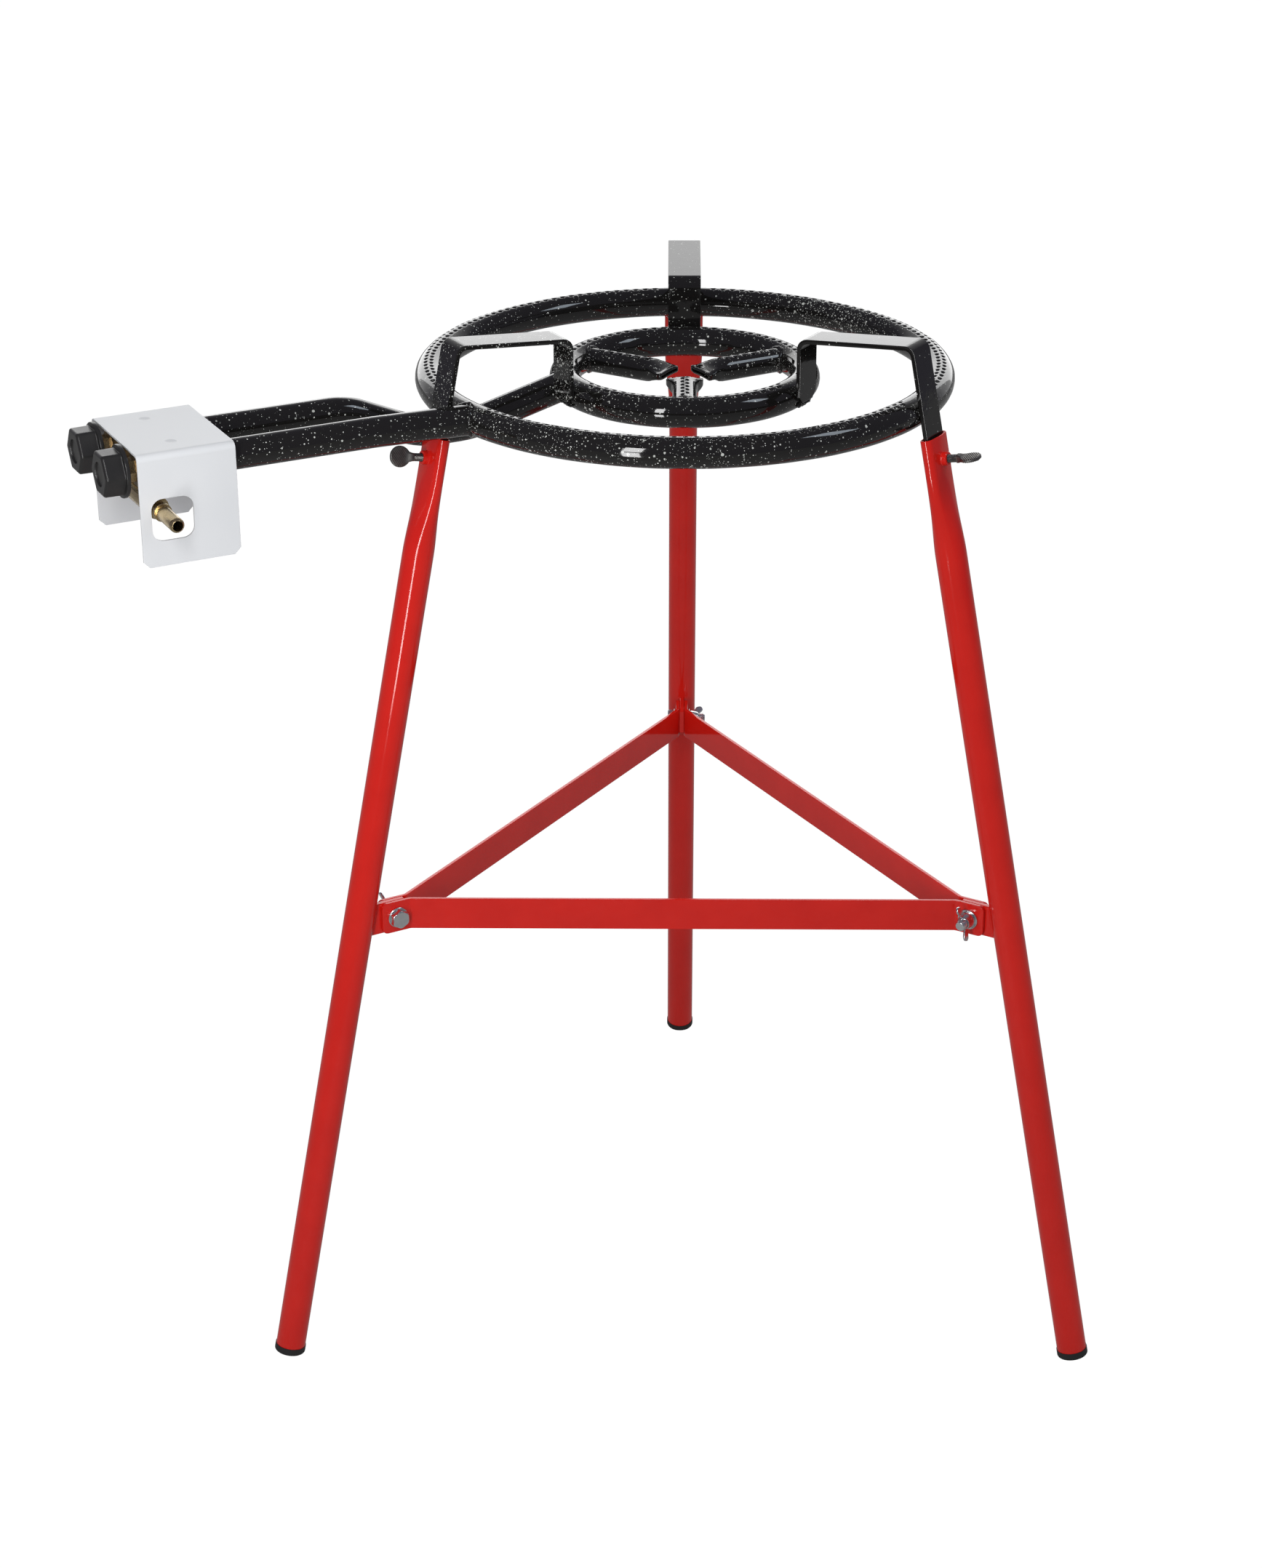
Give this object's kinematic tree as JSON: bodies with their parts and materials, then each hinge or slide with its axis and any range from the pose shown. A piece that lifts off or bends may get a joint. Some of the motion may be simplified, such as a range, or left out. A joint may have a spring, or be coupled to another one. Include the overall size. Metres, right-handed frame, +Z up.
{
  "type": "two-ring gas burner on a tripod stand",
  "caption": "Two-ring gas burner with pan supports, twin feed tubes and tap knobs, standing on a braced red tripod",
  "frame": {"origin": "on the floor, on the rings' axis, midway between the three feet", "axes": "+Z up along the rings' axis, -Y towards the front brace strip, -X towards the valve side"},
  "size_m": [0.7484, 0.6435, 0.8],
  "materials": {
    "red_paint": "glossy red paint over steel tube and strip",
    "speckled_enamel": "glossy black enamel with white specks",
    "white_paint": "satin pale grey paint on folded sheet",
    "zinc_steel": "bright zinc plating",
    "dark_steel": "dark plated steel",
    "brass": "turned brass",
    "black_plastic": "moulded black plastic"
  },
  "bodies": {
    "brace": {"brace_strip_front": "red_paint", "brace_strip_left": "red_paint", "brace_strip_right": "red_paint", "brace_bolts": "zinc_steel", "brace_washers": "zinc_steel"},
    "burner": {"outer_ring": "speckled_enamel", "inner_ring": "speckled_enamel", "centre_stub_front": "speckled_enamel", "centre_stub_left": "speckled_enamel", "centre_stub_right": "speckled_enamel", "pan_support_rear": "speckled_enamel", "pan_support_left": "speckled_enamel", "pan_support_right": "speckled_enamel", "outer_feed_tube": "speckled_enamel", "inner_feed_tube": "speckled_enamel", "cover_posts": "speckled_enamel", "valve_cover": "white_paint", "outer_mixer_plug": "zinc_steel", "inner_mixer_plug": "zinc_steel", "outer_valve_body": "brass", "inner_valve_body": "brass", "outer_injector": "brass", "inner_injector": "brass", "outer_gland_nut": "brass", "inner_gland_nut": "brass", "gas_manifold": "brass", "manifold_plug": "brass", "hose_barb": "brass"},
    "rear_leg": {"leg_rear": "red_paint", "lug_rear": "red_paint", "screw_boss_rear": "red_paint", "foot_cap_rear": "black_plastic"},
    "left_leg": {"leg_left": "red_paint", "lug_left": "red_paint", "screw_boss_left": "red_paint", "foot_cap_left": "black_plastic"},
    "right_leg": {"leg_right": "red_paint", "lug_right": "red_paint", "screw_boss_right": "red_paint", "foot_cap_right": "black_plastic"},
    "rear_thumb_screw": {"thumb_screw_rear": "dark_steel"},
    "left_thumb_screw": {"thumb_screw_left": "dark_steel"},
    "right_thumb_screw": {"thumb_screw_right": "dark_steel"},
    "rear_wing_nut": {"wing_nut_rear": "zinc_steel"},
    "left_wing_nut": {"wing_nut_left": "zinc_steel"},
    "right_wing_nut": {"wing_nut_right": "zinc_steel"},
    "outer_tap": {"outer_tap_plug": "brass"},
    "outer_control": {"outer_stem": "zinc_steel", "outer_knob": "black_plastic"},
    "inner_tap": {"inner_tap_plug": "brass"},
    "inner_control": {"inner_stem": "zinc_steel", "inner_knob": "black_plastic"}
  },
  "joints": [
    {"name": "burner_lift", "type": "slide", "parent": "brace", "child": "burner", "axis": [0, 0, 1], "range_m": [0, 0.05]},
    {"name": "rear_leg_swing", "type": "hinge", "parent": "brace", "child": "rear_leg", "pos_m": [0, 0.252, 0.361], "axis": [-1, 0, 0], "range_deg": [0, 1.7]},
    {"name": "left_leg_swing", "type": "hinge", "parent": "brace", "child": "left_leg", "pos_m": [-0.21824, -0.126, 0.361], "axis": [0.5, -0.866, 0], "range_deg": [0, 1.7]},
    {"name": "right_leg_swing", "type": "hinge", "parent": "brace", "child": "right_leg", "pos_m": [0.21824, -0.126, 0.361], "axis": [0.5, 0.866, 0], "range_deg": [0, 1.7]},
    {"name": "rear_thumb_screw_turn", "type": "hinge", "parent": "rear_leg", "child": "rear_thumb_screw", "pos_m": [0, 0.2083, 0.71686], "axis": [0, 0.9791, 0.2035], "range_deg": [0, 720]},
    {"name": "left_thumb_screw_turn", "type": "hinge", "parent": "left_leg", "child": "left_thumb_screw", "pos_m": [-0.18039, -0.10415, 0.71686], "axis": [-0.8479, -0.4895, 0.2035], "range_deg": [0, 720]},
    {"name": "right_thumb_screw_turn", "type": "hinge", "parent": "right_leg", "child": "right_thumb_screw", "pos_m": [0.18039, -0.10415, 0.71686], "axis": [0.8479, -0.4895, 0.2035], "range_deg": [0, 720]},
    {"name": "rear_wing_nut_turn", "type": "hinge", "parent": "brace", "child": "rear_wing_nut", "pos_m": [0.01, 0.252, 0.361], "axis": [1, 0, 0], "range_deg": [0, 720]},
    {"name": "left_wing_nut_turn", "type": "hinge", "parent": "brace", "child": "left_wing_nut", "pos_m": [-0.22324, -0.11734, 0.361], "axis": [-0.5, 0.866, 0], "range_deg": [0, 720]},
    {"name": "right_wing_nut_turn", "type": "hinge", "parent": "brace", "child": "right_wing_nut", "pos_m": [0.21324, -0.13466, 0.361], "axis": [-0.5, -0.866, 0], "range_deg": [0, 720]},
    {"name": "outer_tap_turn", "type": "hinge", "parent": "burner", "child": "outer_tap", "pos_m": [-0.36618, -0.22781, 0.7514], "axis": [-0.887, -0.4617, 0], "range_deg": [0, 180]},
    {"name": "outer_knob_push", "type": "slide", "parent": "outer_tap", "child": "outer_control", "axis": [0.887, 0.4617, 0], "range_m": [0, 0.003], "stiffness_N_per_m": 300},
    {"name": "inner_tap_turn", "type": "hinge", "parent": "burner", "child": "inner_tap", "pos_m": [-0.39144, -0.1793, 0.7514], "axis": [-0.887, -0.4617, 0], "range_deg": [0, 180]},
    {"name": "inner_knob_push", "type": "slide", "parent": "inner_tap", "child": "inner_control", "axis": [0.887, 0.4617, 0], "range_m": [0, 0.003], "stiffness_N_per_m": 300}
  ],
  "couplings": [
    {"joint": "rear_leg_swing", "follows": "burner_lift", "rad_per_m": 0.56},
    {"joint": "left_leg_swing", "follows": "burner_lift", "rad_per_m": 0.56},
    {"joint": "right_leg_swing", "follows": "burner_lift", "rad_per_m": 0.56}
  ]
}
